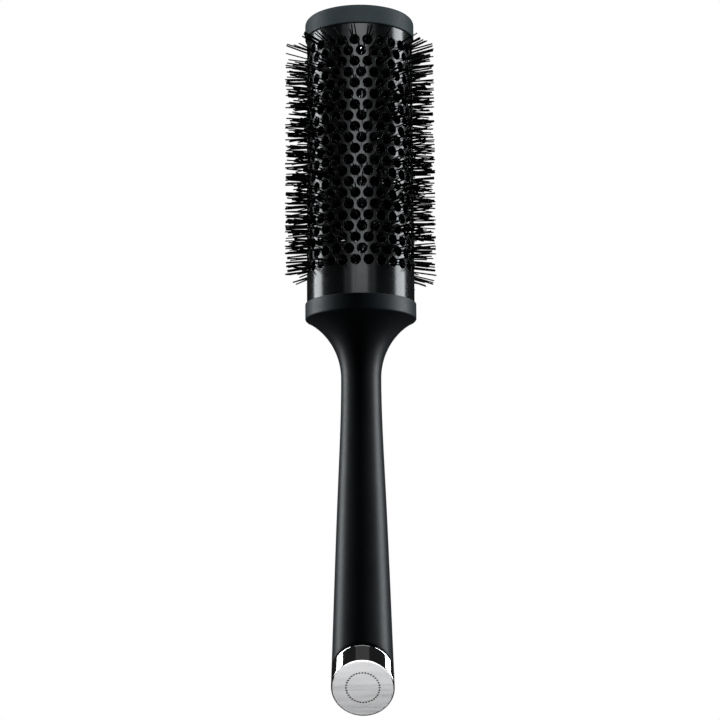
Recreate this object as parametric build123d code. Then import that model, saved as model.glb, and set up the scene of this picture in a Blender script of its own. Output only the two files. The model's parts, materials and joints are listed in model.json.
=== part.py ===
from build123d import *
import os
from math import cos, pi, radians, sin, sqrt, tan

# Vented round barrel brush: a perforated, ceramic-coated aluminium barrel on a
# twisted-wire bristle core, with a soft-touch handle that ends in a slanted
# chrome ferrule. Millimetres. +Z runs up the barrel. Z = 0 is the underside of
# the collar, where the brush hangs in a holder ring. The slanted end faces -Y.

os.makedirs("parts", exist_ok=True)

# ---- driving sizes ----
barrel_d = 45.0            # outside of the perforated tube
barrel_wall = 0.8
barrel_shown = 115.4       # bare length between collar and cap
fit_gap = 0.05             # radial clearance of every fitted pair

hole_d = 4.35              # vent holes
holes_per_row = 26
hole_rows = 21
first_row_below_cap = 7.1  # cap's edge to the centre of the top row
last_row_above_collar = 14.1
pattern_turn = 3.0         # degrees from the slanted side to a hole

cap_wall = 0.65            # soft-touch skins round the barrel's two ends
cap_skirt = 6.6            # how far the cap covers the tube
cap_top = 1.8
cap_edge_round = 2.0

collar_h = 7.0
collar_wall = 0.65
collar_floor = 1.0
collar_edge_round = 0.8
collar_hole_d = 24.0       # opening in the collar's floor

neck_d = 16.7              # handle's narrowest section
neck_z = -24.5
flare_step = 0.8           # collar stands this far proud of the handle's flare
handle_mid_d = 19.65       # handle at handle_mid_z
handle_mid_z = -70.0
handle_end_d = 25.8        # handle where its axis meets the slanted end face
grip_wall = 1.6            # soft skin over the rigid core

slant = 40.0               # end face, degrees from square
end_z = -151.3             # slanted end face on the axis
ferrule_len = 7.0          # along the axis
ferrule_edge_round = 0.4
ferrule_rim = 0.5          # wall left round the disc
shadow_gap = 0.3           # groove between grip and ferrule
disc_t = 1.2
pad_t = 0.4
disc_sunk = 0.1            # disc below the ferrule's rim

wire_d = 3.0               # each of the two twisted stem wires
wire_pitch = 19.4
wire_turn = 110.0          # where the first wire starts, from +X
wire_gap = 0.02            # each wire stands off the axis by this
stem_bottom = -14.0
hub_below_top = 0.1        # cap plug's hub to the tube's end
sleeve_wall = 0.75         # crimped sleeves at both ends of the stem
sleeve_bottom_len = 22.0
sleeve_top_len = 6.0

plug_wall = 1.5            # end plugs inside the tube
plug_floor = 3.0
plug_h = 9.0
plug_hub_wall = 0.9
base_hub_h = 5.0           # stands on the base plug's floor
cap_plug_h = 10.4

screw_d = 2.9              # three tie screws, base plug to handle core
screw_len = 14.0
screw_head_d = 5.6
screw_head_h = 1.8
screw_slot = 0.8
screw_cross = 3.4          # across the cross recess
screw_count = 3
screw_clear = 0.23         # screw heads to the hub of the stem

tip_d = 63.7               # across the bristle tips
spoke_w = 0.9              # bundle of filaments through one hole
root_d = 13.0              # filament roots round the stem
root_t = 1.0

# ---- places that follow from the sizes ----
barrel_r = barrel_d / 2
bore_r = barrel_r - barrel_wall
tube_bottom = collar_floor
cap_bottom = collar_h + barrel_shown
tube_top = cap_bottom + cap_skirt
cap_z = tube_top + cap_top
collar_r = barrel_r + fit_gap + collar_wall
cap_r = barrel_r + fit_gap + cap_wall
plug_r = bore_r - fit_gap
stem_top = tube_top - hub_below_top - plug_hub_wall - wire_d
stem_r = wire_d + wire_gap
sleeve_r = stem_r + fit_gap + sleeve_wall
hub_r = sleeve_r + fit_gap + plug_hub_wall
screw_pcd = 2 * (hub_r + screw_clear + screw_head_d / 2)
hole_pitch = pi * barrel_d / holes_per_row
rows_span = barrel_shown - first_row_below_cap - last_row_above_collar
row_pitch = rows_span / (hole_rows - 1)
hole_turn = 360 / holes_per_row
row_zs = [cap_bottom - first_row_below_cap - k * row_pitch for k in range(hole_rows)]
flare_rise = collar_r - flare_step - neck_d / 2
flare_radius = (flare_rise**2 + neck_z**2) / (2 * flare_rise)
flare_centre = neck_d / 2 + flare_radius


def row_turn(row):
    """Angle of a row's first hole: every other row is shifted by half a pitch."""
    return -90 + pattern_turn + (row % 2 - 1) * hole_turn / 2


def ring(outer_r, inner_r, bottom, top):
    """A plain sleeve on the axis."""
    return Pos(0, 0, bottom) * extrude(Circle(outer_r) - Circle(inner_r), top - bottom)


def rod(radius, bottom, top):
    """A plain cylinder on the axis."""
    return Pos(0, 0, bottom) * extrude(Circle(radius), top - bottom)


def slant_plane(depth):
    """Plane of the end face, moved into the handle by depth along its normal."""
    normal = Vector(0, -sin(radians(slant)), -cos(radians(slant)))
    return Plane(origin=Vector(0, 0, end_z) - normal * depth, z_dir=normal)


def above(shape, plane):
    return split(shape, bisect_by=plane, keep=Keep.BOTTOM)


def below(shape, plane):
    return split(shape, bisect_by=plane, keep=Keep.TOP)


def handle_body(inset):
    """The handle's outer form, all of it closer to the axis by inset: a round
    flare under the collar, a waist, and a slow swell towards the end."""
    radius = flare_radius + inset
    top_r = flare_centre - sqrt(radius**2 - neck_z**2)
    knee_z = neck_z / 2
    knee_r = flare_centre - sqrt(radius**2 - (knee_z - neck_z) ** 2)
    waist = (neck_d / 2 - inset, neck_z)
    middle = (handle_mid_d / 2 - inset, handle_mid_z)
    tail = (handle_end_d / 2 - inset, end_z)
    swell = (tail[0] - middle[0]) / (middle[1] - tail[1])
    foot_z = end_z - handle_end_d * tan(radians(slant))
    foot = (tail[0] + swell * (end_z - foot_z), foot_z)
    outline = [
        Line((0, 0), (top_r, 0)),
        ThreePointArc((top_r, 0), (knee_r, knee_z), waist),
        Spline(waist, middle, tail, tangents=[(0, -1), (swell, -1)]),
        Line(tail, foot),
        Line(foot, (0, foot_z)),
        Line((0, foot_z), (0, 0)),
    ]
    section = Plane.XZ * make_face(outline)
    return revolve(section, Axis.Z)


def screw_places():
    turns = [90 + k * 360 / screw_count for k in range(screw_count)]
    return [Rot(0, 0, turn) * Pos(screw_pcd / 2, 0, 0) for turn in turns]


# ---- barrel ----
def make_barrel_tube():
    tube = ring(barrel_r, bore_r, tube_bottom, tube_top)
    punch = Pos(barrel_r, 0, 0) * Rot(0, 90, 0) * Cylinder(hole_d / 2, 4 * barrel_wall)
    holes = []
    for row, z in enumerate(row_zs):
        for k in range(holes_per_row):
            holes.append(Pos(0, 0, z) * Rot(0, 0, row_turn(row) + k * hole_turn) * punch)
    return tube - holes


def make_cap_shell():
    shell = rod(cap_r, cap_bottom, cap_z)
    shell = fillet(shell.edges().sort_by(Axis.Z)[-1], cap_edge_round)
    return shell - rod(barrel_r + fit_gap, cap_bottom, tube_top)


def make_cap_plug():
    bottom = tube_top - cap_plug_h
    plug = rod(plug_r, bottom, tube_top) - rod(plug_r - plug_wall, bottom + plug_wall, tube_top)
    plug += rod(hub_r, bottom, stem_top + wire_d + plug_hub_wall)
    return plug - rod(sleeve_r + fit_gap, bottom, stem_top + wire_d)


# ---- collar and base ----
def make_collar_ring():
    collar = rod(collar_r, 0, collar_h)
    collar = fillet(collar.edges().filter_by(GeomType.CIRCLE).sort_by(Axis.Z)[0], collar_edge_round)
    collar = fillet(collar.edges().filter_by(GeomType.CIRCLE).sort_by(Axis.Z)[-1], collar_wall / 2)
    collar -= rod(barrel_r + fit_gap, collar_floor, collar_h)
    return collar - rod(collar_hole_d / 2, 0, collar_floor)


def make_base_plug():
    floor_z = collar_floor + plug_floor
    plug = rod(plug_r, collar_floor, collar_floor + plug_h)
    plug -= rod(plug_r - plug_wall, floor_z, collar_floor + plug_h)
    plug += rod(collar_hole_d / 2 - fit_gap, 0, collar_floor)
    plug += rod(hub_r, collar_floor, floor_z + base_hub_h)
    plug -= rod(sleeve_r + fit_gap, 0, floor_z + base_hub_h)
    for place in screw_places():
        plug -= place * rod(screw_d / 2 + fit_gap, 0, floor_z)
    return plug


def make_tie_screws():
    """Pan-head screws, driven from inside the barrel before the core goes in."""
    seat = collar_floor + plug_floor
    shank = rod(screw_d / 2, seat - screw_len, seat)
    tip = shank.edges().filter_by(GeomType.CIRCLE).sort_by(Axis.Z)[0]
    shank = chamfer(tip, screw_d / 4)
    head = rod(screw_head_d / 2, seat, seat + screw_head_h)
    crown = head.edges().filter_by(GeomType.CIRCLE).sort_by(Axis.Z)[-1]
    head = fillet(crown, screw_head_h / 2)
    cross = Box(screw_cross, screw_slot, screw_head_h) + Box(screw_slot, screw_cross, screw_head_h)
    screw = shank + head - Pos(0, 0, seat + screw_head_h) * cross
    return Compound([place * screw for place in screw_places()])


# ---- twisted-wire stem with its bristles ----
def make_stem_wire(turn):
    path = Helix(wire_pitch, stem_top - stem_bottom, wire_d / 2 + wire_gap)
    start = Plane(origin=path @ 0, z_dir=path % 0)
    wire = sweep(start * Circle(wire_d / 2), path, is_frenet=True)
    return Pos(0, 0, stem_bottom) * Rot(0, 0, turn) * wire


def make_stem_sleeve(bottom, top):
    return ring(sleeve_r, stem_r + fit_gap, bottom, top)


def make_bristle_row(row):
    """One ring of filament bundles, each passing through its own vent hole."""
    root_r = root_d / 2
    reach = tip_d / 2 - root_r / 2
    spoke = Pos(root_r / 2 + reach / 2, 0) * Rectangle(reach, spoke_w)
    star = Circle(root_r)
    star += [Rot(0, 0, row_turn(row) + k * hole_turn) * spoke for k in range(holes_per_row)]
    star -= Circle(stem_r + fit_gap)
    return Pos(0, 0, row_zs[row] - root_t / 2) * extrude(star, root_t)


# ---- handle ----
def make_handle_core():
    core = above(handle_body(grip_wall), slant_plane(disc_sunk + disc_t + pad_t))
    core -= rod(sleeve_r + fit_gap, stem_bottom - wire_d, 0)
    for place in screw_places():
        core -= place * rod(screw_d / 2, collar_floor + plug_floor - screw_len, 0)
    return core


def ferrule_top():
    """Where the ferrule starts, square to the slanted face."""
    return ferrule_len * cos(radians(slant))


def make_handle_grip():
    skin = handle_body(0) - handle_body(grip_wall)
    return above(skin, slant_plane(ferrule_top() + shadow_gap))


def make_end_ferrule():
    body = below(above(handle_body(0), slant_plane(0)), slant_plane(ferrule_top()))
    for cut in (slant_plane(0), slant_plane(ferrule_top())):
        heights = {edge: abs(cut.to_local_coords(edge.center()).Z) for edge in body.edges()}
        rim = [edge for edge, height in heights.items() if height < ferrule_edge_round / 4]
        body = fillet(rim, ferrule_edge_round)
    body -= handle_body(grip_wall - fit_gap)
    recess = below(handle_body(ferrule_rim), slant_plane(disc_sunk + disc_t + pad_t))
    return body - recess


def make_end_disc():
    blank = handle_body(ferrule_rim + fit_gap)
    return below(above(blank, slant_plane(disc_sunk)), slant_plane(disc_sunk + disc_t))


def make_disc_pad():
    blank = handle_body(grip_wall + fit_gap)
    return below(above(blank, slant_plane(disc_sunk + disc_t)), slant_plane(disc_sunk + disc_t + pad_t))


pieces = {
    "barrel_tube": make_barrel_tube(),
    "cap_shell": make_cap_shell(),
    "cap_plug": make_cap_plug(),
    "collar_ring": make_collar_ring(),
    "base_plug": make_base_plug(),
    "tie_screws": make_tie_screws(),
    "stem_wire_a": make_stem_wire(wire_turn),
    "stem_wire_b": make_stem_wire(wire_turn + 180),
    "stem_sleeve_base": make_stem_sleeve(stem_bottom, stem_bottom + sleeve_bottom_len),
    "stem_sleeve_top": make_stem_sleeve(stem_top - sleeve_top_len, stem_top),
    "handle_core": make_handle_core(),
    "handle_grip": make_handle_grip(),
    "end_ferrule": make_end_ferrule(),
    "end_disc": make_end_disc(),
    "disc_pad": make_disc_pad(),
}
for row in range(hole_rows):
    pieces[f"bristle_row_{row + 1:02d}"] = make_bristle_row(row)

for name, shape in pieces.items():
    export_step(shape, f"parts/{name}.step")
    print(name, round(shape.volume, 1))
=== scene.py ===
# %% [markdown]
# # A vented round barrel brush
# A stylist wraps hair round the hot barrel and blows warm air through its holes. The real brush is
# a black, ceramic-coated tube full of holes, a core of nylon bristles twisted into a wire stem, two
# soft-touch end pieces, and a long satin handle that ends in a slanted chrome ferrule with a metal
# disc. The engineering model holds every size. This lesson gives each piece its final surface.
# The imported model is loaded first, because every place below is read from it.

# %% Load the frame
import json
import math
import bmesh
import bpy
from mathutils import Matrix, Vector

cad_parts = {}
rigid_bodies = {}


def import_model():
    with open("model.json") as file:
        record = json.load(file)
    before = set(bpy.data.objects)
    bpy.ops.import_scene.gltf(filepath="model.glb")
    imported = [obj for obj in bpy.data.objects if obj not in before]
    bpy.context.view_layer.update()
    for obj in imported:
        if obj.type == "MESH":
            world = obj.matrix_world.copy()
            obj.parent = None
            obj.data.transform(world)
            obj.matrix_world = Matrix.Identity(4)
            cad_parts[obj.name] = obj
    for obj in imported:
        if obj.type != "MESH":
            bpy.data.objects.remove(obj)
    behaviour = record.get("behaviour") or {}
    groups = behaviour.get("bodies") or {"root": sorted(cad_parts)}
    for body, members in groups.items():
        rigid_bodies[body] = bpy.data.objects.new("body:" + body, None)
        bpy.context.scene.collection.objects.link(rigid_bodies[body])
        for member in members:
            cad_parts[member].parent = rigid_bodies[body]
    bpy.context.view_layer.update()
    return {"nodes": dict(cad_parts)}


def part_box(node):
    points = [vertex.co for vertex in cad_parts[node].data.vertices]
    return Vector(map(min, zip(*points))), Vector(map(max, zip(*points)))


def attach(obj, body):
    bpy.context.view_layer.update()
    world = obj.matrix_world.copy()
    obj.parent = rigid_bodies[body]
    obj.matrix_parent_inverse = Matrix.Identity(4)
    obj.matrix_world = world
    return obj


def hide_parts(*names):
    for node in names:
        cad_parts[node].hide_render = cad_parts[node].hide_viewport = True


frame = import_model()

mm = 0.001

# %% [markdown]
# ## Sizes
# A designer measures before modelling. Where a size can be read off a box in the frame it is read,
# so that the looks follow the engineering model. Only what a box can't say is written as a number:
# holes, radii of edges, and the handle's waist. A hole's pitch is the barrel's girth shared out.

# %% Read the sizes
slant = math.radians(40)              # the end face's angle from square
edge_steps = 5                        # points on each rounded edge
turns_around = 192                    # facets round a turned piece

barrel_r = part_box("barrel_tube")[1].x
tube_bottom, tube_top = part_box("barrel_tube")[0].z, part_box("barrel_tube")[1].z
cap_r, cap_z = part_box("cap_shell")[1].x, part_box("cap_shell")[1].z
cap_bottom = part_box("cap_shell")[0].z
collar_r, collar_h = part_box("collar_ring")[1].x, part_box("collar_ring")[1].z
flare_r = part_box("handle_grip")[1].x
row_names = sorted(name for name in frame["nodes"] if name.startswith("bristle_row_"))
row_zs = [(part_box(name)[0].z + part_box(name)[1].z) / 2 for name in row_names]
row_pitch = row_zs[0] - row_zs[1]
reach_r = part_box(row_names[0])[1].x
stem_low, stem_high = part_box("stem_wire_a")[0].z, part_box("stem_wire_a")[1].z
stem_r = (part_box("stem_wire_a")[1].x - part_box("stem_wire_a")[0].x) / 2

wall = 0.8 * mm
fit_gap = 0.05 * mm
hole_d = 4.35 * mm
holes_per_row = 26
hole_pitch = math.tau * barrel_r / holes_per_row
front, seam = -90, 3                   # degrees: the side seen first, and the rows' offset from it
first_turn = math.radians(front + seam) - math.pi / holes_per_row
print(len(row_zs), "rows,", round(row_pitch / mm, 2), "mm apart")
print("hole pitch", round(hole_pitch / mm, 2), "mm")

# %% [markdown]
# ## Finishes
# Nothing on a real brush has one flat colour. A moulded skin has soft clouds of lighter and darker
# tone and a fine grain, a coated tube has orange peel, and metal has brush lines. One helper builds
# such a finish from noise: slow noise mixes two colours, middling noise moves the roughness, and
# fine noise raises a bump. Stretching the noise along one axis turns grain into brush lines. What
# is the same all over the surface is typed on the shader's own sockets, and isn't wired.

# %% A helper for finishes
noise_low, noise_high = 0.3, 0.7      # nearly all of the noise lies between these


def finish(name, dark, light, rough, cloud=90, grain=2500, depth=0.02 * mm, stretch=(1, 1, 1), **fixed):
    """A procedural material: two tones, a roughness range, and a grain of the given depth."""
    material = bpy.data.materials.new(name)
    material.use_nodes = True
    nodes, links = material.node_tree.nodes, material.node_tree.links
    shader = nodes["Principled BSDF"]
    place = nodes.new("ShaderNodeTexCoord")
    run = nodes.new("ShaderNodeMapping")
    run.inputs["Scale"].default_value = stretch
    links.new(place.outputs["Object"], run.inputs["Vector"])

    def noise(scale, detail):
        node = nodes.new("ShaderNodeTexNoise")
        node.inputs["Scale"].default_value = scale
        node.inputs["Detail"].default_value = detail
        links.new(run.outputs["Vector"], node.inputs["Vector"])
        return node.outputs["Fac"]

    tone = nodes.new("ShaderNodeValToRGB")
    tone.color_ramp.elements[0].color = (*dark, 1)
    tone.color_ramp.elements[1].color = (*light, 1)
    tone.color_ramp.elements[0].position = noise_low
    tone.color_ramp.elements[1].position = noise_high
    links.new(noise(cloud, 4), tone.inputs["Fac"])
    links.new(tone.outputs["Color"], shader.inputs["Base Color"])
    gloss = nodes.new("ShaderNodeMapRange")
    for socket, value in zip(("From Min", "From Max", "To Min", "To Max"), (noise_low, noise_high, *rough)):
        gloss.inputs[socket].default_value = value
    links.new(noise(cloud * 6, 3), gloss.inputs["Value"])
    links.new(gloss.outputs["Result"], shader.inputs["Roughness"])
    bump = nodes.new("ShaderNodeBump")
    bump.inputs["Distance"].default_value = depth
    bump.inputs["Strength"].default_value = 0.6
    links.new(noise(grain, 2), bump.inputs["Height"])
    links.new(bump.outputs["Normal"], shader.inputs["Normal"])
    for socket, value in fixed.items():
        shader.inputs[socket.replace("_", " ")].default_value = value
    return material


# %% [markdown]
# The black parts are told apart mostly by their gloss. The ceramic tube is the
# shiniest, the handle's skin is satin, and the two end pieces have a dry, powdery soft-touch paint
# with a touch of blue. The collar's copy of it is a little glossier, and a little darker as painted
# shade, for the shade that the bristles cast over the collar. Chrome is nearly a mirror. The disc is
# brushed from side to side, and the hidden parts get the plain moulded and drawn finishes that a
# factory leaves on them.

# %% Mix the finishes
ceramic = finish("black_ceramic", (0.0030, 0.0033, 0.0036), (0.0050, 0.0054, 0.0058), (0.16, 0.21),
                 grain=1400, depth=0.003 * mm)
soft_touch = finish("soft_touch_charcoal", (0.014, 0.020, 0.022), (0.020, 0.027, 0.030), (0.48, 0.56),
                    grain=5200, depth=0.012 * mm, Specular_IOR_Level=0.12)
# The collar's copy of the soft-touch paint is darker than the cap's: painted shade, for the shade under the
# bristles. Its gloss differs too.
soft_touch_painted_shade_collar = finish("soft_touch_collar", (0.012, 0.017, 0.020), (0.017, 0.023, 0.027), (0.42, 0.50),
                           grain=5200, depth=0.012 * mm, Specular_IOR_Level=0.26)
satin_grip = finish("satin_black_grip", (0.011, 0.0125, 0.0145), (0.016, 0.0178, 0.0205), (0.36, 0.42),
                    grain=4200, depth=0.008 * mm, Specular_IOR_Level=0.23)
nylon = finish("black_nylon", (0.0025, 0.0025, 0.003), (0.007, 0.007, 0.0075), (0.32, 0.44), grain=3000,
               depth=0.006 * mm, Specular_IOR_Level=0.2)
chrome = finish("chrome_plate", (0.82, 0.83, 0.85), (0.90, 0.91, 0.92), (0.045, 0.075), grain=600,
                depth=0.001 * mm, Metallic=1)
brushed_disc = finish("brushed_satin_disc", (0.74, 0.75, 0.76), (0.84, 0.84, 0.85), (0.30, 0.38),
                      grain=2600, depth=0.004 * mm, stretch=(0.06, 1, 1), Metallic=1)
dot_enamel = finish("dark_dot_enamel", (0.006, 0.006, 0.006), (0.012, 0.012, 0.012), (0.45, 0.6))
stem_steel = finish("drawn_stem_steel", (0.62, 0.63, 0.64), (0.78, 0.79, 0.80), (0.16, 0.24), grain=900,
                    stretch=(1, 1, 0.1), Metallic=1)
sleeve_steel = finish("crimped_sleeve_steel", (0.45, 0.45, 0.46), (0.6, 0.6, 0.62), (0.3, 0.4), Metallic=1)
screw_steel = finish("screw_zinc", (0.5, 0.5, 0.48), (0.66, 0.66, 0.63), (0.25, 0.38), Metallic=1)
core_plastic = finish("core_moulding", (0.018, 0.018, 0.019), (0.03, 0.03, 0.031), (0.45, 0.6))
plug_plastic = finish("plug_moulding", (0.012, 0.012, 0.013), (0.022, 0.022, 0.023), (0.5, 0.62))
pad_rubber = finish("pad_rubber", (0.02, 0.02, 0.02), (0.035, 0.035, 0.035), (0.7, 0.8))
floor_paint = finish("pale_floor", (0.78, 0.78, 0.785), (0.81, 0.81, 0.815), (0.8, 0.9), cloud=2, grain=60,
                     depth=0.05 * mm)
print(len(bpy.data.materials), "finishes")

# %% [markdown]
# ## Turned skins
# Caps, collars and handles come off a lathe or out of a round mould. Such a piece is a closed
# section swept round the axis. The section is a list of corners, each with the radius that its
# edge is eased to, because a real edge is never sharp and it is the eased edge that catches the
# light. A short straight point on each side of an arc keeps the flats flat when they are shaded.

# %% Helpers for turned pieces
def rounded_section(corners):
    """The points of a closed section, each corner (across, along, radius) rounded by an arc."""
    points = []
    for k, (across, along, radius) in enumerate(corners):
        here = Vector((across, along))
        if radius == 0:
            points.append(here)
            continue
        before = Vector(corners[k - 1][:2]) - here
        after = Vector(corners[(k + 1) % len(corners)][:2]) - here
        half = before.angle(after) / 2
        back, on = before.normalized(), after.normalized()
        reach = radius / math.tan(half)
        centre = here + (back + on).normalized() * radius / math.sin(half)
        start, end = here + back * reach, here + on * reach
        points.append(start + back * radius * 0.25)
        for step in range(edge_steps + 1):
            share = step / edge_steps
            spoke = (start - centre) * (1 - share) + (end - centre) * share
            points.append(centre + spoke.normalized() * radius)
        points.append(end + on * radius * 0.25)
    return points


def settle(name, mesh, material, sharp=50):
    """Welds a mesh, turns its faces outwards, smooths it up to an angle and makes its object."""
    work = bmesh.new()
    work.from_mesh(mesh)
    bmesh.ops.remove_doubles(work, verts=work.verts, dist=0.0005 * mm)
    bmesh.ops.recalc_face_normals(work, faces=work.faces)
    for face in work.faces:
        face.smooth = True
    for edge in work.edges:
        edge.smooth = edge.calc_face_angle(0) < math.radians(sharp)
    work.to_mesh(mesh)
    work.free()
    mesh.materials.clear()
    mesh.materials.append(material)
    piece = bpy.data.objects.new(name, mesh)
    bpy.context.scene.collection.objects.link(piece)
    return piece


def skin(name, rings, material, closed=True):
    """A surface through a list of rings of points: joined into a loop, or closed by its end rings."""
    count = len(rings[0])
    points = [point for ring in rings for point in ring]
    faces = []
    for k in range(len(rings) if closed else len(rings) - 1):
        here, there = k * count, (k + 1) % len(rings) * count
        for i in range(count):
            j = (i + 1) % count
            faces.append((here + i, here + j, there + j, there + i))
    if not closed:
        faces.append(tuple(range(count)))
        faces.append(tuple(range(len(points) - count, len(points))))
    mesh = bpy.data.meshes.new(name)
    mesh.from_pydata(points, [], faces)
    return settle(name, mesh, material)


def circle(radius, height):
    steps = [math.tau * i / turns_around for i in range(turns_around)]
    return [(radius * math.cos(a), radius * math.sin(a), height) for a in steps]


def finished(piece, slot, *nodes):
    """Hands a piece to the frame: the root body carries it, and the parts that it stands for are hidden.
    The slot argument is not used.
    """
    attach(piece, "root")
    if nodes:
        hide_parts(*nodes)
    print(piece.name, len(piece.data.vertices), "points")


# %% [markdown]
# ## The soft-touch cap and collar
# Both are thin moulded skins pushed over the tube's ends. The cap is a shallow cup with a generous
# round edge. The collar is a band with a floor, and an opening in the floor lets the base plug
# through to the handle. Their sections are drawn as half profiles and swept round.

# %% Turn the cap and the collar
skin_gap_r = barrel_r + fit_gap
pole_r = 0.5 * mm                     # the cap's last small rings, closed by a face each
opening_r = 12 * mm                   # in the collar's floor
cap_section = rounded_section([
    (cap_r, cap_bottom, 0.45 * mm), (cap_r, cap_z, 2.0 * mm), (pole_r, cap_z, 0),
    (pole_r, tube_top, 0), (skin_gap_r, tube_top, 0), (skin_gap_r, cap_bottom, 0.15 * mm)])
cap_rings = [circle(point.x, point.y) for point in cap_section]
first = next(k for k, point in enumerate(cap_section) if point.x < 2 * pole_r)
cap = skin("soft_cap", cap_rings[first + 1:] + cap_rings[:first + 1], soft_touch, closed=False)
finished(cap, "soft_touch", "cap_shell")

collar_section = rounded_section([
    (collar_r, 0, 0.8 * mm), (collar_r, collar_h, 0.3 * mm), (skin_gap_r, collar_h, 0.12 * mm),
    (skin_gap_r, tube_bottom, 0), (opening_r, tube_bottom, 0), (opening_r, 0, 0)])
collar = skin("soft_collar", [circle(point.x, point.y) for point in collar_section], soft_touch_painted_shade_collar)
finished(collar, "soft_touch", "collar_ring")

# %% [markdown]
# ## The handle's outline
# Under the collar the handle is a quarter-round flare. It shrinks to a waist and then swells
# slowly towards the end. The flare is an arc. Below it, two smooth cubic spans share one slope at
# the point between them, chosen so that the bend there is even, as a spline's would be.

# %% The handle's radius at any height
waist_r, waist_z = 8.35 * mm, -24.5 * mm
mid_r, mid_z = 9.825 * mm, -70 * mm
end_r, end_z = 12.9 * mm, -151.3 * mm
flare_rise = flare_r - waist_r
flare_arc = (flare_rise**2 + waist_z**2) / (2 * flare_rise)
upper_span, lower_span = waist_z - mid_z, mid_z - end_z
end_swell = (end_r - mid_r) / lower_span
even_bend = 3 * ((mid_r - waist_r) / upper_span**2 + (end_r - mid_r) / lower_span**2)
mid_swell = (even_bend - end_swell / lower_span) / (2 / upper_span + 2 / lower_span)


def cubic(share, start, end, start_slope, end_slope):
    """A smooth rise from start to end; the slopes are per whole span."""
    a, b = share * share * (3 - 2 * share), share * (1 - share)
    return start + (end - start) * a + b * (start_slope * (1 - share) - end_slope * share)


def handle_radius(z, inset=0.0):
    if z > waist_z:
        return waist_r + flare_arc - math.sqrt((flare_arc + inset) ** 2 - (z - waist_z) ** 2)
    if z > mid_z:
        share = (waist_z - z) / upper_span
        return cubic(share, waist_r, mid_r, 0, mid_swell * upper_span) - inset
    share = (mid_z - z) / lower_span
    if share > 1:
        return end_r + end_swell * (end_z - z) - inset
    return cubic(share, mid_r, end_r, mid_swell * lower_span, end_swell * lower_span) - inset


# %% [markdown]
# ## Slanted rings
# The end of the handle is cut at a slant, so its last rings aren't level: they lie in planes
# parallel to the end face. A ring is found by asking, for each direction round the axis, at what
# height the handle's surface meets the plane. The radius depends on the height and the height on
# the radius, so a few rounds of guessing settle both.

# %% Rings on the slanted end
guesses = 8


def slanted_ring(inset, depth, share=1.0):
    """A ring on the handle's surface, in the plane that lies depth inside the end face."""
    ring = []
    for i in range(turns_around):
        angle = math.tau * i / turns_around
        z = end_z
        for _ in range(guesses):
            radius = handle_radius(z, inset)
            z = end_z + (depth - radius * math.sin(angle) * math.sin(slant)) / math.cos(slant)
        x, y = radius * share * math.cos(angle), radius * share * math.sin(angle)
        ring.append((x, y, end_z + (depth - y * math.sin(slant)) / math.cos(slant)))
    return ring


def blended_ring(inset, level, share, last):
    """A ring between the level ring at height level and the slanted ring last."""
    ring = []
    for i, (_, _, low) in enumerate(last):
        angle = math.tau * i / turns_around
        z = level + (low - level) * share
        radius = handle_radius(z, inset)
        ring.append((radius * math.cos(angle), radius * math.sin(angle), z))
    return ring


# %% [markdown]
# ## The grip
# The grip is a soft skin over a hard core, with a wall of 1.6 mm. Rings close together follow the
# flare, where the outline turns quickly, and wider ones the long taper. The last ones lean over
# until they are parallel to the end, where the edge is eased beside the shadow gap.

# %% Build the grip
grip_wall = 1.6 * mm
ferrule_depth = 7.0 * mm * math.cos(slant)
shadow_gap = 0.3 * mm
grip_depth = ferrule_depth + shadow_gap
grip_edge = 0.3 * mm
flare_rings, taper_rings, leaning_rings = 36, 30, 24
taper_from, lean_from = waist_z * 1.2, -104 * mm
grip_levels = [taper_from * k / flare_rings for k in range(flare_rings)]
grip_levels += [taper_from + (lean_from - taper_from) * k / taper_rings for k in range(taper_rings)]


def grip_surface(inset, depth):
    last = slanted_ring(inset, depth)
    rings = [circle(handle_radius(z, inset), z) for z in grip_levels]
    rings += [blended_ring(inset, lean_from, k / leaning_rings, last) for k in range(leaning_rings)]
    return rings + [last]


edge = [(grip_edge * (1 - math.cos(a)), grip_depth + grip_edge * (1 - math.sin(a)))
        for a in (math.pi / 2 * k / edge_steps for k in range(1, edge_steps + 1))]
outside = grip_surface(0.0, grip_depth + grip_edge)
inside = grip_surface(grip_wall, grip_depth)
grip = skin("satin_grip", outside + [slanted_ring(*point) for point in edge] + inside[::-1], satin_grip)
finished(grip, "grip", "handle_grip")

# %% [markdown]
# ## The chrome ferrule and the disc
# The ferrule is a turned ring, cut at the same slant as the end and plated. Its section is drawn
# as distances inside the handle's surface and inside the end face, so one list of corners makes
# the whole ring. The disc sits in it, a hair below the rim, and its edge is broken so that it
# shows a thin bright line.

# %% Build the ferrule and the disc
rim, rim_depth = 0.4 * mm, 0.22 * mm
disc_sunk, disc_t, seat_depth = 0.25 * mm, 1.0 * mm, 1.7 * mm
ferrule_wall = grip_wall - fit_gap
ferrule_section = rounded_section([
    (0, rim_depth, 0.36 * mm), (0, ferrule_depth, 0.6 * mm), (ferrule_wall, ferrule_depth, 0),
    (ferrule_wall, seat_depth, 0), (rim, seat_depth, 0), (rim, rim_depth, 0.08 * mm)])
ferrule = skin("chrome_ferrule", [slanted_ring(point.x, point.y) for point in ferrule_section], chrome)
finished(ferrule, "chrome", "end_ferrule")

disc_inset = rim + fit_gap
disc_edge = 0.15 * mm
disc_pole = 0.02                      # the smallest ring's share of the disc, closed by a face
disc_rings = [slanted_ring(disc_inset, disc_sunk, share) for share in (disc_pole, 0.3, 0.6, 0.9, 0.975)]
for k in range(edge_steps + 1):
    a = math.pi / 2 * k / edge_steps
    disc_rings.append(slanted_ring(disc_inset + disc_edge * (1 - math.sin(a)),
                                   disc_sunk + disc_edge * (1 - math.cos(a))))
disc_rings.append(slanted_ring(disc_inset, disc_sunk + disc_t))
disc_rings.append(slanted_ring(disc_inset, disc_sunk + disc_t, disc_pole))
disc = skin("satin_disc", disc_rings, brushed_disc, closed=False)
finished(disc, "satin_disc", "end_disc")

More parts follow.
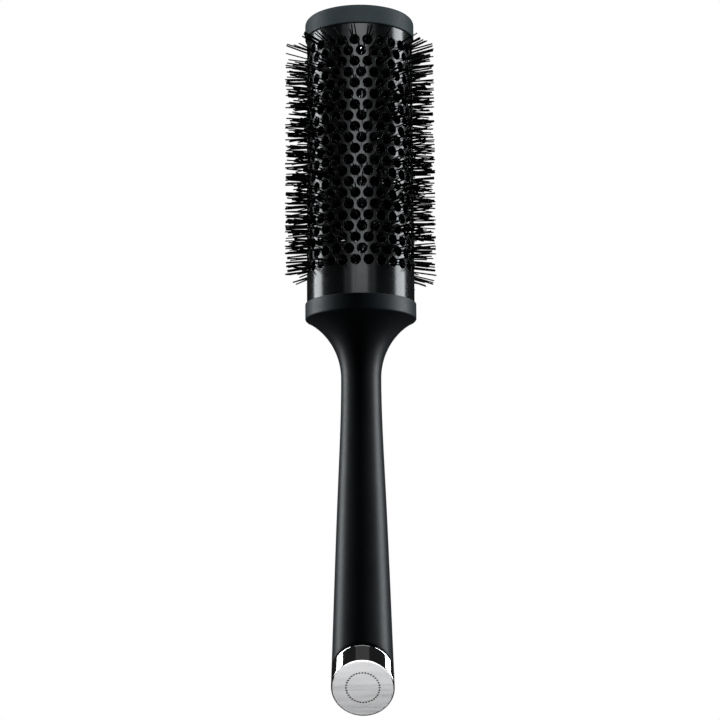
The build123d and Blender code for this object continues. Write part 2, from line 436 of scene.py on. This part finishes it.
# %% [markdown]
# ## Building node trees in a script
# What repeats is made by Geometry Nodes: the vent holes, the bristles, the two twisted wires and
# the ring of dots. A tree is a recipe with named inputs, so its sizes can be changed later without
# touching the nodes. A small helper keeps the recipes short: add() makes a
# node and fills its sockets, and run() sets the inputs, evaluates the tree and keeps a plain mesh.

# %% A helper for node trees
class Recipe:
    """A Geometry Nodes tree under construction."""

    def __init__(self, name, **inputs):
        self.tree = bpy.data.node_groups.new(name, "GeometryNodeTree")
        self.names = {}
        for label, kind in inputs.items():
            socket = self.tree.interface.new_socket(label, in_out="INPUT", socket_type="NodeSocket" + kind)
            self.names[label] = socket.identifier
        self.tree.interface.new_socket("Geometry", in_out="OUTPUT", socket_type="NodeSocketGeometry")
        self.given = {socket.name: socket for socket in self.tree.nodes.new("NodeGroupInput").outputs}

    def add(self, kind, sockets=None, **settings):
        """Adds a node, then sets or links its input sockets, given by name or number."""
        node = self.tree.nodes.new(kind)
        for key, value in settings.items():
            setattr(node, key, value)
        for key, value in (sockets or {}).items():
            if isinstance(value, bpy.types.Node):
                value = value.outputs[0]
            if isinstance(value, bpy.types.NodeSocket):
                self.tree.links.new(value, node.inputs[key])
            else:
                node.inputs[key].default_value = value
        return node

    def math(self, operation, a, b=0.0, c=0.0):
        return self.add("ShaderNodeMath", {0: a, 1: b, 2: c}, operation=operation)

    def random(self, low, high, seed, who):
        """A random number for each member, the same on every run."""
        node = self.add("FunctionNodeRandomValue", {"ID": who, "Seed": seed})
        node.inputs[2].default_value, node.inputs[3].default_value = low, high
        return node.outputs[1]

    def vector(self, x, y, z):
        return self.add("ShaderNodeCombineXYZ", {0: x, 1: y, 2: z})

    def finish(self, geometry):
        """Every tree ends the same way: real geometry, with its material on it."""
        real = self.add("GeometryNodeRealizeInstances", {"Geometry": geometry})
        painted = self.add("GeometryNodeSetMaterial", {
            "Geometry": real, "Material": self.given["Material"]})
        end = self.tree.nodes.new("NodeGroupOutput")
        self.tree.links.new(painted.outputs[0], end.inputs[0])

    def run(self, name, **values):
        """Evaluates the tree with these inputs and returns a plain mesh."""
        host = bpy.data.objects.new(name + "_host", bpy.data.meshes.new(name + "_host"))
        bpy.context.scene.collection.objects.link(host)
        modifier = host.modifiers.new("recipe", "NODES")
        modifier.node_group = self.tree
        for label, value in values.items():
            modifier[self.names[label]] = value
        bpy.context.view_layer.update()
        ready = host.evaluated_get(bpy.context.evaluated_depsgraph_get())
        mesh = bpy.data.meshes.new_from_object(ready)
        mesh.name = name
        host.modifiers.remove(modifier)
        bpy.data.objects.remove(host)
        return mesh


# %% [markdown]
# ## One vent hole
# The tube starts as flat sheet metal in the mind: a strip of equal tiles, each with one hole. A
# tile has a straight outline of 24 points and a round hole of 24 points, so the two join in clean
# four-sided faces. The outline has six steps on each side, and a row that is shifted by half a
# tile still meets its neighbour point for point. The rim of the hole is rolled over, as punching
# and coating leave it. Bands of plain tile make the bare ends of the tube.

# %% Make the flat tiles
tile_steps = 6
rim_roll = 0.1 * mm


def tile_outline(height):
    """24 points round a tile, anticlockwise, from the middle of its right side."""
    half = tile_steps // 2
    right = [(0.5, k / tile_steps) for k in range(half)]
    top = [(0.5 - k / tile_steps, 0.5) for k in range(tile_steps)]
    left = [(-0.5, 0.5 - k / tile_steps) for k in range(tile_steps)]
    bottom = [(-0.5 + k / tile_steps, -0.5) for k in range(tile_steps)]
    rest = [(0.5, -0.5 + k / tile_steps) for k in range(half)]
    return [(x * hole_pitch, z * height) for x, z in right + top + left + bottom + rest]


def round_loop(radius):
    count = 4 * tile_steps
    return [(radius * math.cos(math.tau * k / count), radius * math.sin(math.tau * k / count))
            for k in range(count)]


def helper(name, points, faces):
    mesh = bpy.data.meshes.new(name)
    mesh.from_pydata(points, [], faces)
    piece = bpy.data.objects.new(name, mesh)
    bpy.context.scene.collection.objects.link(piece)
    return piece


def vent_tile():
    hole_r = hole_d / 2
    quarter = rim_roll * (1 - math.cos(math.pi / 4))
    loops = [(tile_outline(row_pitch), 0), (round_loop(hole_r + rim_roll * 1.25), 0),
             (round_loop(hole_r + rim_roll), 0), (round_loop(hole_r + quarter), quarter),
             (round_loop(hole_r), rim_roll), (round_loop(hole_r), wall), (tile_outline(row_pitch), wall)]
    count = 4 * tile_steps
    points = [(x, depth, z) for loop, depth in loops for x, z in loop]
    faces = []
    for k in range(len(loops) - 1):
        for i in range(count):
            j = (i + 1) % count
            faces.append((k * count + i, k * count + j, (k + 1) * count + j, (k + 1) * count + i))
    return helper("vent_tile", points, faces)


def plain_tile(name, low, high, closed_at_top):
    """A bare stretch of wall, a tile wide, closed along the tube's end."""
    xs = [hole_pitch * (k / tile_steps - 0.5) for k in range(tile_steps + 1)]
    front_low, front_high = [(x, 0, low) for x in xs], [(x, 0, high) for x in xs]
    back_low, back_high = [(x, wall, low) for x in xs], [(x, wall, high) for x in xs]
    strips = [(front_low, front_high), (back_high, back_low)]
    strips.append((front_high, back_high) if closed_at_top else (back_low, front_low))
    points = []
    faces = []
    for first_edge, second_edge in strips:
        base = len(points)
        points += first_edge + second_edge
        for k in range(tile_steps):
            faces.append((base + k, base + k + 1, base + len(xs) + k + 1, base + len(xs) + k))
    return helper(name, points, faces)


tile = vent_tile()
top_band = plain_tile("top_band", row_zs[0] + row_pitch / 2, tube_top, True)
low_band = plain_tile("low_band", tube_bottom, row_zs[-1] - row_pitch / 2, False)
print("tile faces", len(tile.data.polygons))

# %% [markdown]
# ## The perforated barrel
# The tree lays the tiles out flat in rows, every other row shifted by half a hole, and then rolls
# the sheet up: the distance along the sheet becomes an angle, and the depth becomes a smaller
# radius. This is how the real tube could be made from sheet, and it keeps every hole clean where a
# boolean cut would leave slivers. Welding the seams afterwards closes the wall.

# %% Lay out the holes and roll the sheet
roll = Recipe("rolled_barrel", Tile="Object", TopBand="Object", LowBand="Object", Columns="Int", Rows="Int",
              Pitch="Float", RowPitch="Float", TopRow="Float", Radius="Float", Turn="Float",
              Material="Material")


def tiles_on(count, x, z, tile_name):
    spots = roll.add("GeometryNodePoints", {"Count": count, "Position": roll.vector(x, 0.0, z)})
    shape = roll.add("GeometryNodeObjectInfo", {"Object": roll.given[tile_name]}).outputs["Geometry"]
    return roll.add("GeometryNodeInstanceOnPoints", {"Points": spots, "Instance": shape})


order = roll.add("GeometryNodeInputIndex")
row = roll.math("FLOOR", roll.math("DIVIDE", order, roll.given["Columns"]))
column = roll.math("MODULO", order, roll.given["Columns"])
shift = roll.math("MULTIPLY", roll.math("MODULO", row, 2.0), 0.5)
along = roll.math("MULTIPLY", roll.math("ADD", column, shift), roll.given["Pitch"])
height = roll.math("SUBTRACT", roll.given["TopRow"], roll.math("MULTIPLY", row, roll.given["RowPitch"]))
straight = roll.math("MULTIPLY", order, roll.given["Pitch"])
holes = roll.math("MULTIPLY", roll.given["Columns"], roll.given["Rows"])
sheet = roll.add("GeometryNodeJoinGeometry")
for part in (tiles_on(holes, along, height, "Tile"),
             tiles_on(roll.given["Columns"], straight, 0.0, "TopBand"),
             tiles_on(roll.given["Columns"], straight, 0.0, "LowBand")):
    roll.tree.links.new(part.outputs[0], sheet.inputs[0])
flat = roll.add("GeometryNodeRealizeInstances", {"Geometry": sheet})
spot = roll.add("ShaderNodeSeparateXYZ", {0: roll.add("GeometryNodeInputPosition")})
angle = roll.math("ADD", roll.math("DIVIDE", spot.outputs[0], roll.given["Radius"]), roll.given["Turn"])
radius = roll.math("SUBTRACT", roll.given["Radius"], spot.outputs[1])
rolled = roll.vector(roll.math("MULTIPLY", radius, roll.math("COSINE", angle)),
                     roll.math("MULTIPLY", radius, roll.math("SINE", angle)), spot.outputs[2])
tube = roll.add("GeometryNodeSetPosition", {"Geometry": flat, "Position": rolled})
weld = 0.01 * mm
roll.finish(roll.add("GeometryNodeMergeByDistance", {"Geometry": tube, "Distance": weld}))

barrel_mesh = roll.run(
    "vented_barrel", Tile=tile, TopBand=top_band, LowBand=low_band, Columns=holes_per_row,
    Rows=len(row_zs), Pitch=hole_pitch, RowPitch=row_pitch, TopRow=row_zs[0], Radius=barrel_r,
    Turn=first_turn, Material=ceramic)
barrel = settle("vented_barrel", barrel_mesh, ceramic)
for spare in (tile, top_band, low_band):
    bpy.data.objects.remove(spare)
finished(barrel, "barrel", "barrel_tube")
work = bmesh.new()
work.from_mesh(barrel.data)
print("open edges in the barrel:", sum(1 for e in work.edges if len(e.link_faces) != 2))
work.free()

# %% [markdown]
# ## The twisted stem
# The bristles are held between two steel wires that are twisted together, as in a bottle brush. A
# wire is a round bar on a spiral: the tree draws the spiral and sweeps a circle along it. The
# second wire is the same one, half a turn on. On the real brush the slow twist shows through some
# of the holes as bright, steep strokes.

# %% Twist the wires
twist = Recipe("twisted_wire", Pitch="Float", Bottom="Float", Top="Float", Offset="Float",
               Thickness="Float", Turn="Float", Material="Material")
tall = twist.math("SUBTRACT", twist.given["Top"], twist.given["Bottom"])
spiral = twist.add("GeometryNodeCurveSpiral", {
    "Resolution": 48, "Rotations": twist.math("DIVIDE", tall, twist.given["Pitch"]),
    "Start Radius": twist.given["Offset"], "End Radius": twist.given["Offset"], "Height": tall,
    "Reverse": True})
bar = twist.add("GeometryNodeCurvePrimitiveCircle", {
    "Resolution": 16, "Radius": twist.math("DIVIDE", twist.given["Thickness"], 2.0)})
wire = twist.add("GeometryNodeCurveToMesh", {"Curve": spiral, "Profile Curve": bar, "Fill Caps": True})
twist.finish(twist.add("GeometryNodeTransform", {
    "Geometry": wire, "Translation": twist.vector(0.0, 0.0, twist.given["Bottom"]),
    "Rotation": twist.vector(0.0, 0.0, twist.given["Turn"])}))

wire_gap = 0.02 * mm
wire_d = stem_r - wire_gap
stem_twist = 19.4 * mm
stem_clear = 0.3 * mm                 # the centre lines start and end this far inside the box
start_turn = math.radians(110)
stem_turn = start_turn + math.tau * stem_clear / stem_twist
for letter, turn in (("a", stem_turn), ("b", stem_turn + math.pi)):
    mesh = twist.run("twisted_wire_" + letter, Pitch=stem_twist, Bottom=stem_low + stem_clear,
                     Top=stem_high - stem_clear, Offset=stem_r - wire_d / 2, Thickness=wire_d,
                     Turn=turn, Material=stem_steel)
    finished(settle("twisted_wire_" + letter, mesh, stem_steel), "stem_wire", "stem_wire_" + letter)

# %% [markdown]
# ## One bristle
# A bristle is a straight nylon filament until it meets the edge of its hole, where it is nudged
# aside. The pattern piece is a six-sided tube of unit size that stands upright, with its rings
# close together near the hole and its end cut square with a slightly broken edge.

# %% Make the pattern bristle
gate_share = 0.68
bristle_rings = [(0, 1), (0.4, 1), (gate_share - 0.04, 1), (gate_share + 0.02, 1), (0.8, 1), (0.9, 1),
                 (0.992, 0.97), (1, 0.75)]
bristle_sides = 6
corners = [math.tau * k / bristle_sides for k in range(bristle_sides)]
pattern_points = [(size * math.cos(a), size * math.sin(a), share) for share, size in bristle_rings
                  for a in corners]
pattern_faces = [tuple(range(bristle_sides))[::-1],
                 tuple(range(len(pattern_points) - bristle_sides, len(pattern_points)))]
for ring in range(len(bristle_rings) - 1):
    for k in range(bristle_sides):
        here, beside = ring * bristle_sides + k, ring * bristle_sides + (k + 1) % bristle_sides
        pattern_faces.append((here, beside, beside + bristle_sides, here + bristle_sides))
pattern = helper("pattern_bristle", pattern_points, pattern_faces)
print("a bristle has", len(pattern_faces), "faces")

# %% [markdown]
# ## A row of bristles
# The core is pushed into the barrel and then its filaments spring out through the nearest holes.
# So a hole may hold one filament, a thick bunch, or none. The wires' twist adds a rhythm: the
# filaments lie flat between the wires, and the direction that they favour turns a quarter from one
# row to the next. The tree makes a fixed number of places for each hole and keeps as many as that
# hole holds. Each filament gets a root on the stem, a gate in the hole and a tip, all a little
# random with a fixed seed, and the pattern tube is drawn through the three points.

# %% Fill the holes with bristles
luck_swing = 2.2                      # filaments more or fewer by luck
gate_spread, lean_spread = 1.5 * mm, 0.75 * mm
fan_out = 1.2                         # how much wider a bunch is at its tips than in its hole
wear_power, deepest_wear = 6.0, 4.0 * mm
droop = 16.0                          # per metre: a tip that is pushed aside reaches less far out
root_side, root_rise = 0.9 * mm, 1.9 * mm
thinnest, thickest = 0.85, 1.1

comb = Recipe("bristle_row", Pattern="Object", Holes="Int", Places="Int", Height="Float", Turn="Float",
              Favoured="Float", Root="Float", Gate="Float", Tip="Float", Thickness="Float",
              Average="Float", Rhythm="Float", Splay="Float", Seed="Int", Material="Material")
order = comb.add("GeometryNodeInputIndex")
hole = comb.math("FLOOR", comb.math("DIVIDE", order, comb.given["Places"]))
place = comb.math("MODULO", order, comb.given["Places"])
step = comb.math("DIVIDE", math.tau, comb.given["Holes"])
direction = comb.math("ADD", comb.math("MULTIPLY", hole, step), comb.given["Turn"])
from_favoured = comb.math("SUBTRACT", direction, comb.given["Favoured"])
swing = comb.math("COSINE", comb.math("MULTIPLY", from_favoured, 2.0))
luck = comb.random(-luck_swing, luck_swing, comb.given["Seed"], hole)
holds = comb.math("ADD", comb.math("MULTIPLY", swing, comb.given["Rhythm"]),
                  comb.math("ADD", comb.given["Average"], luck))


def draw(low, high, offset):
    return comb.random(low, high, comb.math("ADD", comb.given["Seed"], float(offset)), order)


def scatter(spread, offset):
    """A random place in a round spot: an angle and a distance from its middle."""
    angle = draw(0.0, math.tau, offset)
    distance = comb.math("MULTIPLY", comb.math("SQRT", draw(0.0, 1.0, offset + 1)), spread)
    return (comb.math("MULTIPLY", distance, comb.math("COSINE", angle)),
            comb.math("MULTIPLY", distance, comb.math("SINE", angle)))


gate_side, gate_rise = scatter(gate_spread, 10)
lean_side, lean_rise = scatter(lean_spread, 20)
tip_side = comb.math("ADD", comb.math("MULTIPLY", gate_side, fan_out), lean_side)
tip_rise = comb.math("ADD", comb.math("MULTIPLY", gate_rise, fan_out),
                     comb.math("ADD", lean_rise, comb.given["Splay"]))
worn = comb.math("MULTIPLY", comb.math("POWER", draw(0.0, 1.0, 30), wear_power), deepest_wear)
drop = comb.math("MULTIPLY", comb.math("MULTIPLY", tip_side, tip_side), droop)
tip_out = comb.math("SUBTRACT", comb.math("SUBTRACT", comb.given["Tip"], worn), drop)
places = comb.math("MULTIPLY", comb.given["Holes"], comb.given["Places"])
spots = comb.add("GeometryNodePoints", {"Count": places})
marks = {
    "root": comb.vector(comb.given["Root"], draw(-root_side, root_side, 40),
                        draw(-root_rise, root_rise, 41)),
    "gate": comb.vector(comb.given["Gate"], gate_side, gate_rise),
    "tip": comb.vector(tip_out, tip_side, tip_rise),
    "way": comb.vector(direction, draw(thinnest, thickest, 50), 0.0)}
cloud = spots
for label, value in marks.items():
    cloud = comb.add("GeometryNodeStoreNamedAttribute", {"Geometry": cloud, "Name": label, "Value": value},
                     data_type="FLOAT_VECTOR", domain="POINT")
empty = comb.add("FunctionNodeCompare", {0: place, 1: comb.math("SUBTRACT", holds, 0.5)},
                 data_type="FLOAT", operation="GREATER_EQUAL")
cloud = comb.add("GeometryNodeDeleteGeometry", {"Geometry": cloud, "Selection": empty}, domain="POINT")
shape = comb.add("GeometryNodeObjectInfo", {"Object": comb.given["Pattern"]}).outputs["Geometry"]
bunch = comb.add("GeometryNodeRealizeInstances", {
    "Geometry": comb.add("GeometryNodeInstanceOnPoints", {"Points": cloud, "Instance": shape})})


def read_mark(label):
    mark = comb.add("GeometryNodeInputNamedAttribute", {"Name": label}, data_type="FLOAT_VECTOR")
    return comb.add("ShaderNodeSeparateXYZ", {0: mark}).outputs


root, gate, tip, way = (read_mark(label) for label in marks)

# %% [markdown]
# The pattern's own coordinates say how far along the filament a point is and where it lies on the
# section. Two straight spans, root to gate and gate to tip, give the centre line. The section's
# offsets are added sideways and upwards, and the whole is turned to the hole's direction.

# %% Draw each bristle through its hole
local = comb.add("ShaderNodeSeparateXYZ", {0: comb.add("GeometryNodeInputPosition")}).outputs
first_span = comb.math("MINIMUM", comb.math("DIVIDE", local[2], gate_share), 1.0)
second_span = comb.math("MAXIMUM", comb.math("DIVIDE", comb.math("SUBTRACT", local[2], gate_share),
                                             1 - gate_share), 0.0)


def centre_line(axis):
    """Root to gate to tip, along one axis."""
    inner = comb.math("MULTIPLY", first_span, comb.math("SUBTRACT", gate[axis], root[axis]))
    outer = comb.math("MULTIPLY", second_span, comb.math("SUBTRACT", tip[axis], gate[axis]))
    return comb.math("ADD", root[axis], comb.math("ADD", inner, outer))


half_thick = comb.math("MULTIPLY", comb.math("DIVIDE", comb.given["Thickness"], 2.0), way[1])
out = centre_line(0)
side = comb.math("ADD", centre_line(1), comb.math("MULTIPLY", local[0], half_thick))
rise = comb.math("ADD", centre_line(2), comb.math("MULTIPLY", local[1], half_thick))
cos_way, sin_way = comb.math("COSINE", way[0]), comb.math("SINE", way[0])
x = comb.math("SUBTRACT", comb.math("MULTIPLY", out, cos_way), comb.math("MULTIPLY", side, sin_way))
y = comb.math("ADD", comb.math("MULTIPLY", out, sin_way), comb.math("MULTIPLY", side, cos_way))
z = comb.math("ADD", comb.given["Height"], rise)
comb.finish(comb.add("GeometryNodeSetPosition", {"Geometry": bunch, "Position": comb.vector(x, y, z)}))

# %% [markdown]
# Each row is combed twice. The first filaments pass through the holes, and those of the outermost
# rows splay towards the barrel's ends. The second ones didn't find a hole: they end inside the
# wall, between two rows, and stop the eye from looking in at the front and out at the back. Both
# are one piece, because they belong to the same row.

# %% Comb all rows
favoured_first = math.radians(40)
end_splay, low_share, fade = 2.4 * mm, 0.6, 0.5
tip_clear, caught_clear = 0.06 * mm, 0.7 * mm
caught_gate = 16 * mm
through_seed, caught_seed, seed_step = 71, 907, 13
half_step = math.pi / holes_per_row
bristle_faces = 0
for number, (name, z_row) in enumerate(zip(row_names, row_zs)):
    turn = first_turn + (number % 2) * math.pi / holes_per_row
    ends = fade ** number - low_share * fade ** (len(row_zs) - 1 - number)
    shared = dict(Pattern=pattern, Holes=holes_per_row, Favoured=favoured_first + number * math.pi / 2,
                  Root=stem_r * 0.9, Thickness=0.62 * mm, Average=2.8, Material=nylon)
    mesh = comb.run(name.replace("row", "ring"), Places=8, Height=z_row, Turn=turn, Rhythm=1.4,
                    Gate=barrel_r - wall / 2, Tip=reach_r - tip_clear, Splay=end_splay * ends,
                    Seed=through_seed + seed_step * number, **shared)
    bristle_faces += len(mesh.polygons)
    caught = comb.run("caught", Places=6, Height=z_row - row_pitch / 2, Turn=turn + half_step, Rhythm=2.4,
                      Gate=caught_gate, Tip=barrel_r - wall - caught_clear, Splay=0.0,
                      Seed=caught_seed + seed_step * number, **shared)
    both = bmesh.new()
    both.from_mesh(mesh)
    both.from_mesh(caught)
    both.to_mesh(mesh)
    both.free()
    bpy.data.meshes.remove(caught)
    for label in marks:
        mesh.attributes.remove(mesh.attributes[label])
    mesh.polygons.foreach_set("use_smooth", [True] * len(mesh.polygons))
    ring = bpy.data.objects.new(mesh.name, mesh)
    bpy.context.scene.collection.objects.link(ring)
    finished(ring, "bristle", name)
bpy.data.objects.remove(pattern)
print("bristles through the holes:", bristle_faces // len(pattern_faces))

# %% [markdown]
# ## The dotted disc
# A maker marks the end disc with small enamelled dots. Here they form a plain ring that keeps the
# disc's own slanted outline. A circle is stretched by the slant and stood in the disc's plane, and
# a low cylinder with a few sides is set at each of its points.

# %% Set the dots
dots = Recipe("ring_of_dots", Dots="Int", RingRadius="Float", Slant="Float", Size="Float", Proud="Float",
              Centre="Float", Material="Material")
stretch = dots.math("DIVIDE", 1.0, dots.math("COSINE", dots.given["Slant"]))
ring_line = dots.add("GeometryNodeMeshCircle", {
    "Vertices": dots.given["Dots"], "Radius": dots.given["RingRadius"]})
oval = dots.add("GeometryNodeTransform", {"Geometry": ring_line, "Scale": dots.vector(1.0, stretch, 1.0)})
dot_sides = 14
dot = dots.add("GeometryNodeMeshCylinder", {
    "Vertices": dot_sides, "Radius": dots.math("DIVIDE", dots.given["Size"], 2.0),
    "Depth": dots.given["Proud"]})
placed = dots.add("GeometryNodeInstanceOnPoints", {"Points": oval, "Instance": dot})
dots.finish(dots.add("GeometryNodeTransform", {
    "Geometry": placed, "Rotation": dots.vector(dots.math("MULTIPLY", dots.given["Slant"], -1.0), 0.0, 0.0),
    "Translation": dots.vector(0.0, 0.0, dots.given["Centre"])}))
dot_mesh = dots.run("disc_dots", Dots=36, RingRadius=6.8 * mm, Slant=slant, Size=0.86 * mm, Proud=0.05 * mm,
                    Centre=end_z + disc_sunk / math.cos(slant), Material=dot_enamel)
dot_ring = settle("disc_dots", dot_mesh, dot_enamel)
finished(dot_ring, "satin_disc")

# %% [markdown]
# ## Hidden parts
# The plugs, sleeves, screws and the handle's core keep their engineering shapes, because they are
# right and hardly show. They still get a finish each, so that a cutaway view looks made.

# %% Finish the hidden parts
hidden_finishes = {
    "cap_plug": plug_plastic, "base_plug": plug_plastic, "tie_screws": screw_steel,
    "stem_sleeve_base": sleeve_steel, "stem_sleeve_top": sleeve_steel, "handle_core": core_plastic,
    "disc_pad": pad_rubber}
for name, material in hidden_finishes.items():
    frame["nodes"][name].data.materials.clear()
    frame["nodes"][name].data.materials.append(material)
print(len(hidden_finishes), "hidden parts finished")

# %% [markdown]
# ## Floor, camera and light
# Black gloss shows its surroundings more than itself, so the light is set out as in a product
# studio. Two tall strip boxes beside the brush draw the long highlights, with a dimmer skirt under
# each for the handle. The ferrule is a mirror and has a pair of strips of its own, at the angles
# that it reflects. Panels high in front lift the barrel and the cap, and soft boxes above light the
# whole and the floor. A dim card fills the ferrule from the front and another the slanted disc
# from below, and one lamp reaches the steel stem through the barrel. Light linking keeps each lamp
# on its pieces. The camera has a long lens and looks slightly up, so the brush towers.

# %% Place the floor and the camera
floor_z = -0.182
bpy.ops.mesh.primitive_plane_add(size=6, location=(0, 0, floor_z))
floor = bpy.context.object
floor.name = "floor"
floor.data.materials.append(floor_paint)
floor.visible_glossy = False
floor.visible_shadow = False
floor.visible_diffuse = False

camera = bpy.data.objects.new("camera", bpy.data.cameras.new("camera"))
bpy.context.scene.collection.objects.link(camera)
bpy.context.scene.camera = camera
camera.data.lens = 100
camera.data.sensor_width = 36
camera.data.clip_start, camera.data.clip_end = 0.05, 20
camera_place = (-0.00045, -0.8161, -0.1721)
look_round, look_up, roll_angle = math.radians(1.3), math.radians(10.79), math.radians(-0.3)
stand = Matrix.Rotation(look_round, 4, "Z") @ Matrix.Translation(camera_place)
aim = Matrix.Rotation(math.pi / 2 + look_up, 4, "X") @ Matrix.Rotation(roll_angle, 4, "Z")
camera.matrix_world = stand @ aim
print("camera at", [round(x, 3) for x in camera.matrix_world.translation])

# %% Place the lights
daylight = (0.93, 0.975, 1.0)


def soft_box(name, place, towards, width, height, radiance, glossy=True, colour=daylight):
    """A rectangular light with an even face. The power follows from the brightness wanted."""
    light = bpy.data.lights.new(name, "AREA")
    light.shape = "RECTANGLE"
    light.size, light.size_y = width, height
    light.energy = radiance * width * height * math.pi
    light.color = colour
    lamp = bpy.data.objects.new(name, light)
    bpy.context.scene.collection.objects.link(lamp)
    lamp.location = place
    lamp.rotation_euler = (Vector(towards) - Vector(place)).to_track_quat("-Z", "Y").to_euler()
    lamp.visible_camera = False
    lamp.visible_glossy = glossy
    return lamp


def only_on(lamp, *pieces, through=False):
    """Keeps a lamp off all but these pieces. With through, no other piece stands in its way."""
    receivers = bpy.data.collections.new("lit_by_" + lamp.name)
    for piece in pieces:
        receivers.objects.link(piece)
    lamp.light_linking.receiver_collection = receivers
    if through:
        lamp.light_linking.blocker_collection = receivers


def beside(turn, height):
    """A place a metre from the brush, turned from the camera's side of it."""
    return (math.sin(math.radians(turn)), -math.cos(math.radians(turn)), height)


bristles = [piece for piece in bpy.data.objects if piece.name.startswith("bristle_ring_")]
wires = [bpy.data.objects["twisted_wire_a"], bpy.data.objects["twisted_wire_b"]]
all_but_ferrule = [piece for piece in bpy.data.objects
                   if piece.type == "MESH" and piece not in (floor, ferrule)]
for name, turn, low_turn, width, radiance, low in (("left", -102, -94.5, 0.46, 8.0, 3.0),
                                                   ("right", 95, 110, 0.50, 8.6, 4.0)):
    strip = soft_box(name + "_strip", beside(turn, 0.47), (0, 0, 0.47), width, 1.2, radiance)
    skirt = soft_box(name + "_skirt", beside(turn, -0.29), (0, 0, -0.29), width, 0.3, low)
    only_on(strip, *all_but_ferrule)
    only_on(skirt, *all_but_ferrule)
    mirrored = soft_box(name + "_ferrule_strip", beside(low_turn, 0.32), (0, 0, 0.32), 0.5, 1.5, radiance)
    only_on(mirrored, ferrule)
soft_box("top_box", (0, -0.1, 1.6), (0, 0, 0), 1.6, 1.6, 2.2, glossy=False)
panel = soft_box("front_panel", (0, -1.2, 0.62), (0, 0, 0.05), 0.8, 0.7, 3.4)
only_on(panel, barrel, cap, *wires)
wide_panel = soft_box("wide_panel", (0, -1.2, 0.62), (0, 0, 0.05), 1.7, 0.7, 0.5)
only_on(wide_panel, barrel, cap, ferrule, *bristles, *wires)
floor_box = soft_box("floor_box", (0, 0, 2.2), (0, 0, 0), 6.0, 6.0, 0.9, glossy=False)
only_on(floor_box, floor)
stem_card = soft_box("stem_card", beside(95, 0.25), (0, 0, 0.07), 0.7, 0.9, 7.0)
only_on(stem_card, *wires, through=True)
cap_box = soft_box("cap_box", (0, -1.0, 0.8), (0, 0, 0.1), 2.4, 1.0, 2.3)
only_on(cap_box, cap)
ferrule_card = soft_box("ferrule_card", (0.01, -1.0, -0.12), (0, 0, -0.14), 0.95, 0.6, 0.035,
                        colour=(1, 1, 0.95))
only_on(ferrule_card, ferrule)
disc_card = soft_box("disc_card", (0, -0.163, -0.45), (0, -0.163, 0), 0.34, 0.34, 2.5, colour=(1, 1, 1))
only_on(disc_card, disc, ferrule)

# %% [markdown]
# The camera sees a white world, but the brush is lit by it only faintly: the path of a ray tells
# the two apart. So the background stays clean and the blacks stay black.

# %% Set the world
seen, shed = 1.0, 0.012               # the world's strength to the camera, and as a light
world = bpy.data.worlds.new("studio")
bpy.context.scene.world = world
world.use_nodes = True
nodes, links = world.node_tree.nodes, world.node_tree.links
background = nodes["Background"]
path = nodes.new("ShaderNodeLightPath")
level = nodes.new("ShaderNodeMapRange")
level.inputs["To Min"].default_value = shed
level.inputs["To Max"].default_value = seen
links.new(path.outputs["Is Camera Ray"], level.inputs["Value"])
links.new(level.outputs["Result"], background.inputs["Strength"])
background.inputs["Color"].default_value = (1, 1, 1, 1)
bpy.context.scene.view_settings.view_transform = "Standard"
